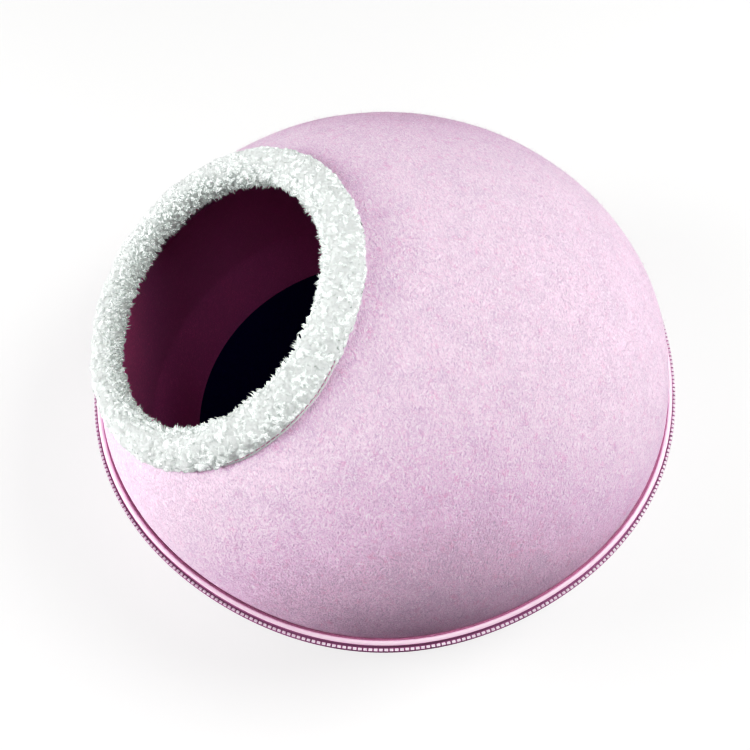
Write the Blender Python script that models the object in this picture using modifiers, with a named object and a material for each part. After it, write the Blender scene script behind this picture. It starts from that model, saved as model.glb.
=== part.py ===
"""Felt pet bed: a round cave of two moulded felt shells.

The upper shell is a dome with a round entrance in its front side, bound with
curly fleece. The lower shell is a pan with a flat base. A zip runs round the
rim where the shells meet. The bed stands on z = 0 with its entrance towards -Y.
"""

import math

import bmesh
import bpy
from mathutils import Matrix, Vector, noise

MM = 0.001
STEPS = 80  # facets round the bed

# Rim and zip
ZIP_RADIUS = 206.5 * MM  # middle of the row of teeth
ZIP_HEIGHT = 103.0 * MM
TOOTH_DEPTH = 2.8 * MM
CHAIN_WIDTH = 6.0 * MM
CHAIN_BEVEL = 0.5 * MM
TAPE_TOP = 1.7 * MM  # the tape's face beside the teeth, up from their middle
TAPE_ROLL = [  # the tape's outer side (out from the felt, up from the teeth's middle)
    (2.9, 2.9), (3.1, 4.0), (2.5, 5.2), (1.3, 6.0),
]
TAPE_CORD = 0.7 * MM  # how thick the tape is beside the teeth
TAPE_END = 6.3 * MM  # where it meets the felt again
RIM_WAVES = 6
RIM_WAVE_SIZE = 0.9 * MM
RIM_WAVE_TURN = math.radians(53.5)
RIM_WAVE_REACH = 45.0 * MM  # how far up and down from the zip the waves die out

# Felt
FELT = 4.0 * MM
SEAM_GAP = 1.6 * MM  # between the edges of the two shells, inside the zip
GAP = 0.3 * MM  # between neighbouring pieces
SLIT_GAP = 0.42 * MM  # round the felt's edge inside the fleece

# Upper shell: (r / radius) ** N + (h / height) ** M = 1
DOME_RADIUS = 200.7 * MM
DOME_HEIGHT = 126.4 * MM
DOME_FOOT = 6.2 * MM  # where the dome starts to curve in, above the zip
DOME_N = 2.108
DOME_M = 1.742
DOME_ROWS = 13
FINE_STEPS = 720  # steps along the curve from which evenly spaced rows are taken

# Entrance, cut straight through the dome by an oval along a leaning axis
ENTRANCE_OUT = 117.7 * MM  # its centre, from the bed's upright axis
ENTRANCE_LEAN = math.radians(33.5)
ENTRANCE_TURN = math.radians(-4.1)  # the oval, turned a little about that axis
ENTRANCE_HALF_WIDTH = 96.2 * MM
ENTRANCE_HALF_LENGTH = 87.9 * MM
ENTRANCE_REACH = 150.0 * MM  # how far the cut runs up and down its axis

# Fleece trim, an oval in section round the entrance's cut edge
TRIM_HALF_WIDTH = 12.7 * MM
TRIM_HALF_THICKNESS = 10.3 * MM
TRIM_OUT = 4.4 * MM  # the section's middle, out from the cut edge
TRIM_BELOW = 1.2 * MM  # and below the dome's outer face
TRIM_SQUARENESS = 2.4
TRIM_SECTIONS = 112
TRIM_POINTS = 16
TRIM_LUMP = 1.3 * MM
TRIM_LUMP_SIZE = 11.0 * MM
TRIM_JOIN = math.radians(339)  # where the strip's two ends meet
TRIM_JOIN_WIDTH = math.radians(3.2)
TRIM_JOIN_DIP = 0.16

# Lower shell: its outer face as (radius, height), from the middle of the base
PAN_FACE = [
    (0, 0), (80, 0), (155, 0), (159, 1.4), (166, 6.2), (178, 15.6), (185, 21.0),
    (188.6, 25.6), (190.6, 32.0), (194.3, 48.0), (198.0, 68.0), (200.3, 88.0),
    (200.7, 102.2),
]

# Floor disc
DISC_RADIUS = 151.5 * MM
DISC_THICKNESS = 1.7 * MM
DISC_BEVEL = 0.4 * MM

PINK_FELT = (0.79, 0.55, 0.68)
NAVY = (0.008, 0.010, 0.028)
FLEECE = (0.83, 0.86, 0.83)
TAPE_PINK = (0.86, 0.50, 0.66)
TOOTH_PINK = (0.90, 0.78, 0.86)


def clear_scene():
    for obj in list(bpy.data.objects):
        bpy.data.objects.remove(obj)


def collection(name):
    made = bpy.data.collections.new(name)
    bpy.context.scene.collection.children.link(made)
    return made


def material(name, colour, roughness):
    mat = bpy.data.materials.new(name)
    mat.use_nodes = True
    shader = mat.node_tree.nodes["Principled BSDF"]
    shader.inputs["Base Color"].default_value = (*colour, 1)
    shader.inputs["Roughness"].default_value = roughness
    shader.inputs["Metallic"].default_value = 0
    mat.diffuse_color = (*colour, 1)
    return mat


def add_object(name, bm, where, mat=None):
    mesh = bpy.data.meshes.new(name)
    bm.to_mesh(mesh)
    bm.free()
    mesh.shade_smooth()
    mesh.set_sharp_from_angle(angle=math.radians(40))
    obj = bpy.data.objects.new(name, mesh)
    where.objects.link(obj)
    if mat:
        mesh.materials.append(mat)
    else:
        obj.hide_render = True
        obj.display_type = "WIRE"
    return obj


def rim_sway(bm):
    """Shifts points near the zip in and out, in the rim's faint waves."""
    for v in bm.verts:
        radius = math.hypot(v.co.x, v.co.y)
        if radius < 1e-6:
            continue
        fade = math.exp(-(((v.co.z - ZIP_HEIGHT) / RIM_WAVE_REACH) ** 2))
        fade *= (radius / ZIP_RADIUS) ** 4
        turn = math.atan2(v.co.y, v.co.x) - RIM_WAVE_TURN
        scale = 1 + RIM_WAVE_SIZE * fade * math.cos(RIM_WAVES * turn) / radius
        v.co.x *= scale
        v.co.y *= scale


def turned(points, closed):
    """(radius, height) points turned round the upright axis, with the rim's waves.

    The points run down the outer side, top to bottom, so that the faces look out.
    """
    count = len(points)
    edges = [(i, (i + 1) % count) for i in range(count if closed else count - 1)]
    outline = bpy.data.meshes.new("outline")
    outline.from_pydata([(r, 0, z) for r, z in points], edges, [])
    obj = bpy.data.objects.new("outline", outline)
    bpy.context.scene.collection.objects.link(obj)
    screw = obj.modifiers.new("Turn", "SCREW")
    screw.steps = screw.render_steps = STEPS
    screw.use_merge_vertices = True
    screw.merge_threshold = 1e-6
    depsgraph = bpy.context.evaluated_depsgraph_get()
    mesh = bpy.data.meshes.new_from_object(obj.evaluated_get(depsgraph))
    bpy.data.objects.remove(obj)
    bm = bmesh.new()
    bm.from_mesh(mesh)
    bpy.data.meshes.remove(mesh)
    rim_sway(bm)
    return bm


def dome_height(radius):
    """Height of the dome's outer face at a distance from its axis."""
    share = 1 - (min(radius, DOME_RADIUS) / DOME_RADIUS) ** DOME_N
    return ZIP_HEIGHT + DOME_FOOT + DOME_HEIGHT * share ** (1 / DOME_M)


def dome_profile():
    """The dome's outer face, from its top down to its cut lower edge."""
    fine = []
    for i in range(FINE_STEPS + 1):
        t = math.pi / 2 * i / FINE_STEPS
        radius = DOME_RADIUS * max(math.cos(t), 0) ** (2 / DOME_N)
        rise = DOME_HEIGHT * math.sin(t) ** (2 / DOME_M)
        fine.append((radius, ZIP_HEIGHT + DOME_FOOT + rise))
    along = [0.0]
    for a, b in zip(fine, fine[1:]):
        along.append(along[-1] + math.dist(a, b))
    points, k = [(DOME_RADIUS, ZIP_HEIGHT + SEAM_GAP / 2)], 0
    for row in range(DOME_ROWS):
        want = along[-1] * row / (DOME_ROWS - 1)
        while k < FINE_STEPS and along[k] < want:
            k += 1
        points.append(fine[k])
    points[-1] = (0, fine[-1][1])
    return points[::-1]


def dome_shell(name, where, mat=None, grow=0.0):
    bm = turned(dome_profile(), closed=False)
    obj = add_object(name, bm, where, mat)
    solid = obj.modifiers.new("Felt", "SOLIDIFY")
    solid.thickness = FELT + 2 * grow
    solid.offset = -FELT / solid.thickness
    solid.use_even_offset = True
    return obj


def entrance_frame():
    """Matrix whose Z is the entrance's axis and whose origin is its centre."""
    centre = Vector((0, -ENTRANCE_OUT, dome_height(ENTRANCE_OUT)))
    lean = Matrix.Rotation(ENTRANCE_LEAN, 4, "X")
    return Matrix.Translation(centre) @ lean @ Matrix.Rotation(ENTRANCE_TURN, 4, "Z")


def entrance_cutter(name, where, shrink=0.0):
    bm = bmesh.new()
    bmesh.ops.create_cone(
        bm, cap_ends=True, segments=96, radius1=1, radius2=1, depth=2 * ENTRANCE_REACH
    )
    half = (ENTRANCE_HALF_WIDTH - shrink, ENTRANCE_HALF_LENGTH - shrink)
    bmesh.ops.scale(bm, vec=(*half, 1), verts=bm.verts)
    bmesh.ops.transform(bm, matrix=entrance_frame(), verts=bm.verts)
    return add_object(name, bm, where)


def cut(obj, cutter):
    mod = obj.modifiers.new("Cut", "BOOLEAN")
    mod.solver = "EXACT"
    mod.object = cutter


def on_dome(point, direction):
    """Slides a point along a direction to the dome's outer face."""
    low, high = -ENTRANCE_REACH, ENTRANCE_REACH
    for _ in range(50):
        half = (low + high) / 2
        p = point + direction * half
        radius = math.hypot(p.x, p.y)
        below = p.z < dome_height(radius) and radius < DOME_RADIUS
        low, high = (half, high) if below else (low, half)
    return point + direction * high


def edge_point(turn):
    frame = entrance_frame()
    local = Vector((
        ENTRANCE_HALF_WIDTH * math.cos(turn), ENTRANCE_HALF_LENGTH * math.sin(turn), 0
    ))
    axis = frame.to_3x3() @ Vector((0, 0, 1))
    return on_dome(frame @ local, axis)


def dome_normal(p):
    radius, rise = math.hypot(p.x, p.y), p.z - ZIP_HEIGHT - DOME_FOOT
    across = DOME_N * (radius / DOME_RADIUS) ** (DOME_N - 1) / DOME_RADIUS
    up = DOME_M * (max(rise, 1e-6) / DOME_HEIGHT) ** (DOME_M - 1) / DOME_HEIGHT
    return Vector((across * p.x / radius, across * p.y / radius, up)).normalized()


def trim_section(turn):
    """One lumpy oval of the fleece, square to the cut edge."""
    p, step = edge_point(turn), math.radians(1)
    along = edge_point(turn + step) - edge_point(turn - step)
    normal = dome_normal(p)
    outward = along.cross(normal).normalized()
    middle = p - normal * TRIM_BELOW + outward * TRIM_OUT
    gap = (turn - TRIM_JOIN + math.pi) % (2 * math.pi) - math.pi
    dip = 1 - TRIM_JOIN_DIP * math.exp(-((gap / TRIM_JOIN_WIDTH) ** 2))
    ring = []
    for i in range(TRIM_POINTS):
        a = 2 * math.pi * i / TRIM_POINTS
        c, s = math.cos(a), math.sin(a)
        size = (abs(c) ** TRIM_SQUARENESS + abs(s) ** TRIM_SQUARENESS) ** (
            -1 / TRIM_SQUARENESS
        )
        offset = outward * (TRIM_HALF_WIDTH * c * size)
        offset += normal * (TRIM_HALF_THICKNESS * s * size)
        lump = noise.noise((middle + offset) / TRIM_LUMP_SIZE) * TRIM_LUMP
        inner = 0.5 - 0.5 * c
        ring.append(
            middle + offset * (1 - (1 - dip) * inner) + offset.normalized() * lump
        )
    return ring


def fleece_trim(where, mat):
    """The trim, lofted by hand: each section stands square to an edge that bends in
    three directions over the dome, and no two sections are alike."""
    bm = bmesh.new()
    rings = []
    for i in range(TRIM_SECTIONS):
        turn = 2 * math.pi * i / TRIM_SECTIONS
        rings.append([bm.verts.new(p) for p in trim_section(turn)])
    for a, b in zip(rings, rings[1:] + rings[:1]):
        for i in range(TRIM_POINTS):
            j = (i + 1) % TRIM_POINTS
            bm.faces.new((a[i], a[j], b[j], b[i]))
    bmesh.ops.recalc_face_normals(bm, faces=bm.faces)
    return add_object("entrance_trim", bm, where, mat)


def lower_shell(where, mat):
    bm = turned([(r * MM, z * MM) for r, z in reversed(PAN_FACE)], closed=False)
    obj = add_object("lower_shell", bm, where, mat)
    solid = obj.modifiers.new("Felt", "SOLIDIFY")
    solid.thickness = FELT
    solid.offset = -1
    solid.use_even_offset = True
    return obj


def floor_disc(where, mat):
    low = FELT + GAP
    top = low + DISC_THICKNESS
    outline = [
        (0, top), (DISC_RADIUS - DISC_BEVEL, top), (DISC_RADIUS, top - DISC_BEVEL),
        (DISC_RADIUS, low), (0, low),
    ]
    return add_object("floor_disc", turned(outline, closed=False), where, mat)


def zip_tape(name, side, where, mat):
    """A tape that rolls out of the seam and turns in again beside the teeth."""
    felt = DOME_RADIUS + GAP
    teeth = ZIP_RADIUS - TOOTH_DEPTH / 2 - GAP
    section = [(felt, TAPE_TOP), (teeth, TAPE_TOP), (teeth, TAPE_TOP + TAPE_CORD)]
    section += [(felt + out * MM, up * MM) for out, up in TAPE_ROLL]
    section += [(felt, TAPE_END)]
    points = [(r, ZIP_HEIGHT + side * h) for r, h in section[::-side]]
    return add_object(name, turned(points, closed=True), where, mat)


def zip_chain(where, mat):
    inner, outer = ZIP_RADIUS - TOOTH_DEPTH / 2, ZIP_RADIUS + TOOTH_DEPTH / 2
    half, soft = CHAIN_WIDTH / 2, CHAIN_BEVEL
    points = [
        (inner, half), (outer - soft, half), (outer, half - soft),
        (outer, soft - half), (outer - soft, -half), (inner, -half),
    ]
    points = [(r, ZIP_HEIGHT + h) for r, h in points]
    return add_object("zip_chain", turned(points, closed=True), where, mat)


def build():
    clear_scene()
    bed = collection("felt_pet_bed")
    cutters = collection("cutters")
    pink = material("pink felt", PINK_FELT, 0.95)
    navy = material("navy felt", NAVY, 0.9)
    fleece = material("white fleece", FLEECE, 0.95)
    tape = material("pink zip tape", TAPE_PINK, 0.55)
    teeth = material("pink zip teeth", TOOTH_PINK, 0.35)

    entrance = entrance_cutter("entrance_cutter", cutters)
    dome = dome_shell("upper_shell", bed, pink)
    cut(dome, entrance)

    # The trim is slit to take the felt's edge, a little clear of it all round.
    slit = dome_shell("felt_edge_cutter", cutters, grow=SLIT_GAP)
    cut(slit, entrance_cutter("narrow_entrance_cutter", cutters, shrink=SLIT_GAP))
    cut(fleece_trim(bed, fleece), slit)

    lower_shell(bed, pink)
    floor_disc(bed, navy)
    zip_tape("upper_zip_tape", 1, bed, tape)
    zip_tape("lower_zip_tape", -1, bed, tape)
    zip_chain(bed, teeth)


build()
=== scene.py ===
"""Felt pet bed: the looks of a round bed of moulded felt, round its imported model.

The upper shell is a dome whose entrance is bound with curly fleece. The lower
shell is a pan with a dark floor disc, and a zip joins the two. Lengths are in
metres, the bed stands on z = 0, and its entrance leans towards -Y.
"""

import math

import bmesh
import bpy
import numpy as np
from bpy.props import FloatProperty, FloatVectorProperty, IntProperty, PointerProperty
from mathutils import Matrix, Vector, kdtree, noise


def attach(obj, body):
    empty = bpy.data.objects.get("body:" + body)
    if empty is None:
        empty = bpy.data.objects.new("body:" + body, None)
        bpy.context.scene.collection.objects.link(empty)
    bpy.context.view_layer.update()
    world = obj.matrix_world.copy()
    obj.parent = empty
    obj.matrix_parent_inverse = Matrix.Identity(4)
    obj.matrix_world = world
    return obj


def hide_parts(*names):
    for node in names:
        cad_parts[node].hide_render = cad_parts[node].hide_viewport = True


bl_info = {
    "name": "Felt Pet Bed",
    "version": (1, 0, 0),
    "blender": (4, 5, 0),
    "location": "3D View > Sidebar > Pet Bed",
    "description": "Makes the felt shells, fleece trim, zip and floor disc of a round pet bed",
    "category": "Object",
}

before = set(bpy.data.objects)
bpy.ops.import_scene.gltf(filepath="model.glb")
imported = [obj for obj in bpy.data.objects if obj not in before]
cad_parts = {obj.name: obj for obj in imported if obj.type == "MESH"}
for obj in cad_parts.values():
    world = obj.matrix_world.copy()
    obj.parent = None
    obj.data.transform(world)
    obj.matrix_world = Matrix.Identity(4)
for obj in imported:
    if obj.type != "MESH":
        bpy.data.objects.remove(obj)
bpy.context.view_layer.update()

MM = 0.001

# The rim and its zip
ZIP_RADIUS = 206.5 * MM
ZIP_HEIGHT = 103.0 * MM
RIM_WAVES = 6
RIM_WAVE_SIZE = 0.9 * MM
RIM_WAVE_TURN = math.radians(53.5)
RIM_WAVE_REACH = 45.0 * MM
SEAM_GAP = 1.6 * MM

# The zip's tape: its section as radius and height in millimetres, and where its flap over
# the teeth, its seam and its stitches are
TAPE_CORNERS = [
    (201.0, 0.3), (204.7, 0.3), (204.8, 0.5), (204.85, 0.85), (206.5, 0.9), (208.2, 0.85),
    (208.4, 1.0), (208.2, 1.15), (206.9, 1.2), (205.9, 1.3), (205.6, 1.8), (205.75, 2.6),
    (205.85, 3.3), (205.6, 4.1), (204.9, 4.9), (203.8, 5.4), (203.1, 5.45), (202.6, 5.1),
    (202.2, 4.4), (201.6, 3.95), (201.0, 3.9), (200.82, 3.5), (200.9, 2.5),
]
TAPE_POINTS = 74
TAPE_STEPS = 600
# The flap's part of the tape takes a dark plum: partly the tape's own colour, partly painted shade
# in the groove by the teeth and between them.
FLAP_IN = 204.75 * MM
FLAP_TOP = 4.5 * MM
# The seam's part of the tape takes the thread's deep pink: partly the seam line's own colour,
# partly painted shade where the tape meets the felt.
SEAM_OUT = 202.3 * MM
SEAM_LOW = 3.3 * MM
STITCH_IN = 201.75 * MM
STITCH_UP = 4.1 * MM
STITCH_WIDTH = 0.7 * MM
STITCH_RISE = 0.30 * MM
STITCH_SHARE = 0.86

# The zip's teeth: the body and half of the head, as width and height in millimetres
TOOTH_DEPTH = 2.8 * MM
TOOTH_OUT = 0.25 * MM
TOOTH_BEVEL = 0.2 * MM
TOOTH_EDGE = math.radians(35)
TOOTH_BODY = [(1.0, 1.95), (1.14, 1.75), (1.14, 0.6), (-1.14, 0.6), (-1.14, 1.75), (-1.0, 1.95)]
TOOTH_HEAD = [(0.5, 0.7), (0.5, 0.05), (0.86, -0.3), (0.86, -0.75), (0.45, -0.95)]

# The dome: (r / radius) ** N + (h / height) ** M = 1
FELT = 4.0 * MM
DOME_RADIUS = 200.7 * MM
DOME_HEIGHT = 126.4 * MM
DOME_FOOT = 6.2 * MM
DOME_N = 2.108
DOME_M = 1.742
DOME_ROWS = 84
SHELL_STEPS = 288

# The felt's faint hollows and ripples, which die out near the rim and the base
HOLLOW_SIZE = 0.055
RIPPLE_SIZE = 0.017
RIPPLE_SHARE = 0.35
CALM_REACH = 0.02
PAN_EVENNESS = 0.8

# The felt's fibres: strokes that lie three ways, bent by a slow drift
STROKE_SIZE = (1 / 380, 1 / 1250, 1 / 1250)
STROKE_TURNS = ((0.0, -0.1, 0.12), (0.3, -0.25, 0.55), (-0.5, 0.5, -0.35))
STROKE_DRIFT = 0.0065
FELT_RELIEF = 0.00045
HAIR_SHAPE = np.array([1.0, 1.0, 0.9, 0.7])
HAIR_CLEAR = 17 * MM
HAIR_LIFT = 0.12 * MM

# The entrance and its trim
ENTRANCE_OUT = 117.7 * MM
ENTRANCE_LEAN = math.radians(33.5)
ENTRANCE_TURN = math.radians(-4.1)
ENTRANCE_HALF_WIDTH = 96.2 * MM
ENTRANCE_HALF_LENGTH = 87.9 * MM
ENTRANCE_REACH = 150.0 * MM
CUT_STEPS = 384
TRIM_HALF_WIDTH = 12.7 * MM
TRIM_HALF_THICKNESS = 10.3 * MM
TRIM_OUT = 4.4 * MM
TRIM_BELOW = 1.2 * MM
TRIM_SQUARENESS = 2.4
TRIM_LUMP = 1.3 * MM
TRIM_LUMP_SIZE = 11.0 * MM
TRIM_JOIN = math.radians(339)
TRIM_JOIN_WIDTH = math.radians(3.2)
TRIM_JOIN_DIP = 0.16
TRIM_SECTIONS = 640
TRIM_ROUND = 64
SLIT_GAP = 0.42 * MM
SLIT_ROWS = 60
SLIT_STEPS = 240

# The fleece's pile, and the trim's flat hem. Angles go round the trim's section, from the
# side away from the opening over the top, and turns go round the entrance.
PILE_TRIES = 60000
PILE_SINK = 0.7 * MM
SINK_INNER = 0.7
SINK_LEFT_INNER = 3.2
SINK_LEFT_OUTER = 1.3
PILE_CLEAR = 0.3 * MM
JOIN_GAP = math.radians(0.7)
CURL_ANGLES = math.radians(-28), math.radians(148)
CURL_SHAPE = np.array([0.8, 1.0, 1.05, 1.0, 0.75])
TUFT_ANGLES = math.radians(136), math.radians(262)
TUFT_SHAPE = np.array([1.0, 1.0, 0.72, 0.42])
TUFT_STRANDS = 4
TUFT_SPREAD = 0.7 * MM
FLEECE_RELIEF = 0.00022
# The pile's painted glow: it gives off its own colour as light, which lifts its shade.
FLEECE_GLOW = 0.56
NUB_SIZE = 3.7 * MM
NUB_HEIGHT = 2.0 * MM
NUB_BASE = 0.5 * MM
# Painted shade on the pile, darker towards the opening's inside and at its left; the left's turn
# and width also set how deep the pile sinks there
INNER_SHADE = 0.34
INNER_FROM = math.radians(165)
INNER_WIDTH = math.radians(60)
LEFT_SHADE = 0.17
LEFT_FROM = math.radians(75)
LEFT_DEPTH = math.radians(70)
LEFT_TURN = math.radians(282)
LEFT_WIDTH = math.radians(48)
HEM_FROM = math.radians(2)
HEM_TO = math.radians(54)
HEM_FREE = math.radians(4)
HEM_SECTIONS = 720
HEM_ROWS = ((0, 0.25), (0.5, 0.22), (1, 0.2), (1.03, 0.5), (1, 0.8), (0.5, 0.95), (0, 0.95))
HEM_ROOT = 5 * MM
HEM_REACH = 2.6 * MM
HEM_SEAM = 0.9 * MM
HEM_TOP = 0.95 * MM
HEM_STITCH_EVERY = 4
HEM_STITCH_WIDTH = 0.55 * MM

# The lower shell's flat base and its outer wall, as radius and height in millimetres, and
# the floor disc
PAN_FLAT = 0.148
PAN_FLAT_ROWS = 12
PAN_WALL = [
    (150, 0), (155, 0), (159, 1.4), (166, 6.2), (178, 15.6), (185, 21.0), (188.6, 25.6),
    (190.6, 32.0), (194.3, 48.0), (198.0, 68.0), (200.3, 88.0), (200.7, 102.2),
]
PAN_WALL_ROWS = 60
DISC_RADIUS = 151.5 * MM
DISC_TOP = 6.0 * MM
DISC_THICKNESS = 1.7 * MM
DISC_BEVEL = 0.35 * MM
DISC_STEPS = 240

# The studio
FLOOR_HALF = 6
FLOOR_DROP = 0.5 * MM
LIGHT_SIZE = 0.9
LIGHT_DISTANCE = 1.8
LIGHT_AIM = Vector((0, 0, 0.1))
LIGHTS = (
    ("left_low", 270, 8),
    ("left_high", 270, 32),
    ("right_high", 90, 50),
    ("right_low", 90, 12),
    ("front_high", 0, 60),
)
RETURN_TINT = np.array([1.0, 0.6, 0.92])
TONE_PIVOT = 0.65
TONE_FOOT = 0.12
TONE_STEPS = (0.18, 0.26, 0.37, 0.5)
TONE_TOP = 0.85
SENSOR_WIDTH = 36
CAMERA_RIGHT = (0.09088, 0.99582, -0.00876)
CAMERA_DOWN = (0.87627, -0.08415, -0.47442)
CAMERA_AHEAD = (-0.47318, 0.03544, -0.88025)
CAMERA_PLACE = (0.3134, -0.0302, 0.6568)


# Settings, and what all colours and all lights' powers have in common

COLOUR = {"subtype": "COLOR", "min": 0, "max": 1}
POWER = {"min": 0, "max": 500}


class FeltSettings(bpy.types.PropertyGroup):
    outside: FloatVectorProperty(
        name="Outside", description="Main colour of the felt's outer face",
        default=(0.89, 0.66, 0.82), **COLOUR,
    )
    fleck: FloatVectorProperty(
        name="Flecks", description="Deeper fibres in the outer face",
        default=(0.82, 0.44, 0.63), **COLOUR,
    )
    grey: FloatVectorProperty(
        name="Grey Fibres", description="Cooler fibres in the outer face",
        default=(0.66, 0.52, 0.66), **COLOUR,
    )
    hair: FloatVectorProperty(
        name="Pale Hairs", description="Palest fibres in the outer face",
        default=(0.95, 0.82, 0.92), **COLOUR,
    )
    inside: FloatVectorProperty(
        name="Inside", description="Colour of the felt's inner face",
        default=(0.64, 0.098, 0.37), **COLOUR,
    )
    unevenness: FloatProperty(
        name="Unevenness", description="How far the moulded face strays from a true dome",
        unit="LENGTH", min=0, max=0.002, default=0.0004,
    )
    loose_fibres: IntProperty(
        name="Loose Fibres", description="Single hairs that lie on the outer face",
        min=0, max=9000, default=3600,
    )


class FleeceSettings(bpy.types.PropertyGroup):
    tips: FloatVectorProperty(
        name="Tips", description="Colour of the pile at its tips",
        default=(0.425, 0.443, 0.434), **COLOUR,
    )
    # The roots' darker colour is painted shade at the pile's base.
    roots: FloatVectorProperty(
        name="Roots", description="Colour of the pile at its roots",
        default=(0.402, 0.419, 0.411), **COLOUR,
    )
    spacing: FloatProperty(
        name="Curl Spacing", description="Distance between neighbouring curls",
        unit="LENGTH", min=0.002, max=0.01, default=0.0025,
    )
    curl_length: FloatProperty(
        name="Curl Length", description="Length of a curl on the outer side",
        unit="LENGTH", min=0.002, max=0.02, default=0.0064,
    )
    tuft_length: FloatProperty(
        name="Tuft Length", description="Length of a tuft round the opening",
        unit="LENGTH", min=0.002, max=0.02, default=0.0052,
    )


class ZipSettings(bpy.types.PropertyGroup):
    teeth: IntProperty(
        name="Teeth", description="Number of teeth on each side", min=50, max=600, default=406,
    )
    tape: FloatVectorProperty(
        name="Tape", description="Colour of the rolled tape",
        default=(1.0, 0.80, 0.90), **COLOUR,
    )
    # The flap's dark plum is partly painted shade in the groove by the teeth and between them.
    flap: FloatVectorProperty(
        name="Flap", description="Colour of the tape's flap over the teeth",
        default=(0.47, 0.19, 0.36), **COLOUR,
    )
    # On the tape's seam this deep pink is partly painted shade where the tape meets the felt.
    thread: FloatVectorProperty(
        name="Thread", description="Colour of the sewing thread and of the tape's seam",
        default=(0.74, 0.36, 0.54), **COLOUR,
    )
    tooth: FloatVectorProperty(
        name="Tooth", description="Colour of the moulded teeth",
        default=(0.86, 0.78, 0.84), **COLOUR,
    )
    stitch: FloatProperty(
        name="Stitch", description="Distance from one stitch to the next",
        unit="LENGTH", min=0.001, max=0.01, default=0.0031,
    )


class DiscSettings(bpy.types.PropertyGroup):
    colour: FloatVectorProperty(
        name="Disc", description="Colour of the floor disc",
        default=(0.004, 0.004, 0.06), **COLOUR,
    )


class StageSettings(bpy.types.PropertyGroup):
    floor: FloatVectorProperty(
        name="Floor", description="Colour of the floor",
        default=(0.32, 0.32, 0.315), **COLOUR,
    )
    floor_return: FloatProperty(
        name="Floor Return", description="Share of the floor's light that reaches the bed",
        min=0, max=1, default=0.7,
    )
    floor_lift: FloatProperty(
        name="Floor Lift", description="Brightness added to the floor as the camera sees it",
        min=0, max=1, default=0.64,
    )
    backdrop: FloatProperty(
        name="Backdrop", description="Brightness of the space behind the bed",
        min=0, max=2, default=0.9,
    )
    sky: FloatProperty(
        name="Sky", description="Strength of the even light all round", min=0, max=5, default=0.0,
    )
    left_low: FloatProperty(
        name="Left Low", description="Power of the low light at the entrance's side",
        default=35.0, **POWER,
    )
    left_high: FloatProperty(
        name="Left High", description="Power of the raised light at the entrance's side",
        default=13.5, **POWER,
    )
    right_high: FloatProperty(
        name="Right High", description="Power of the raised light opposite the entrance",
        default=28.0, **POWER,
    )
    right_low: FloatProperty(
        name="Right Low", description="Power of the low light opposite the entrance",
        default=8.0, **POWER,
    )
    front_high: FloatProperty(
        name="Front High", description="Power of the raised light at the camera's side",
        default=5.0, **POWER,
    )
    contrast: FloatProperty(
        name="Contrast", description="Steepness of the picture's middle tones",
        min=1, max=2, default=1.5,
    )
    lens: FloatProperty(
        name="Lens", description="Focal length on a 36 mm sensor, in millimetres",
        min=10, max=200, default=42.14,
    )


class PetBedSettings(bpy.types.PropertyGroup):
    felt: PointerProperty(type=FeltSettings)
    fleece: PointerProperty(type=FleeceSettings)
    zip: PointerProperty(type=ZipSettings)
    disc: PointerProperty(type=DiscSettings)
    stage: PointerProperty(type=StageSettings)


# Forms of the bed


def unit(vectors):
    return vectors / np.maximum(np.linalg.norm(vectors, axis=-1, keepdims=True), 1e-12)


def round_turns(count):
    """Even turns once round."""
    return 2 * math.pi * np.arange(count) / count


def turn_gap(turns, other):
    """How far turns lie from another turn, the short way round."""
    return (turns - other + math.pi) % (2 * math.pi) - math.pi


def left_share(turns):
    """How near turns are to the opening's left, from 0 to 1."""
    return np.exp(-(((turns - LEFT_TURN) / LEFT_WIDTH) ** 2))


def dome_height(radius):
    share = 1 - (np.minimum(radius, DOME_RADIUS) / DOME_RADIUS) ** DOME_N
    return ZIP_HEIGHT + DOME_FOOT + DOME_HEIGHT * share ** (1 / DOME_M)


def dome_slope(points):
    """How far points lie outside the dome's outer face, and its outward directions."""
    radius = np.maximum(np.hypot(points[..., 0], points[..., 1]), 1e-9)
    rise = np.maximum(points[..., 2] - ZIP_HEIGHT - DOME_FOOT, 1e-6)
    level = (radius / DOME_RADIUS) ** DOME_N + (rise / DOME_HEIGHT) ** DOME_M - 1
    across = DOME_N * (radius / DOME_RADIUS) ** (DOME_N - 1) / DOME_RADIUS
    up = DOME_M * (rise / DOME_HEIGHT) ** (DOME_M - 1) / DOME_HEIGHT
    slope = np.stack(
        [across * points[..., 0] / radius, across * points[..., 1] / radius, up], axis=-1
    )
    steep = np.linalg.norm(slope, axis=-1)
    return level / steep, slope / steep[..., None]


def rim_sway(points):
    """The rim's faint waves in and out."""
    radius = np.maximum(np.hypot(points[:, 0], points[:, 1]), 1e-6)
    fade = np.exp(-(((points[:, 2] - ZIP_HEIGHT) / RIM_WAVE_REACH) ** 2))
    fade *= (radius / ZIP_RADIUS) ** 4
    turn = np.arctan2(points[:, 1], points[:, 0]) - RIM_WAVE_TURN
    scale = 1 + RIM_WAVE_SIZE * fade * np.cos(RIM_WAVES * turn) / radius
    swayed = points.copy()
    swayed[:, :2] *= scale[:, None]
    return swayed


def entrance_frame():
    """The entrance's centre and its three directions, the last along its axis."""
    centre = np.array([0, -ENTRANCE_OUT, float(dome_height(ENTRANCE_OUT))])
    cl, sl = math.cos(ENTRANCE_LEAN), math.sin(ENTRANCE_LEAN)
    ct, st = math.cos(ENTRANCE_TURN), math.sin(ENTRANCE_TURN)
    lean = np.array([[1, 0, 0], [0, cl, -sl], [0, sl, cl]])
    turn = np.array([[ct, -st, 0], [st, ct, 0], [0, 0, 1]])
    return centre, (lean @ turn).T


def oval_share(points, clear=0.0):
    """Where points lie against the entrance's oval: over 1 is outside it."""
    centre, (side, fore, _) = entrance_frame()
    local = points - centre
    share = (local @ side / (ENTRANCE_HALF_WIDTH + clear)) ** 2
    return share + (local @ fore / (ENTRANCE_HALF_LENGTH + clear)) ** 2


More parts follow.
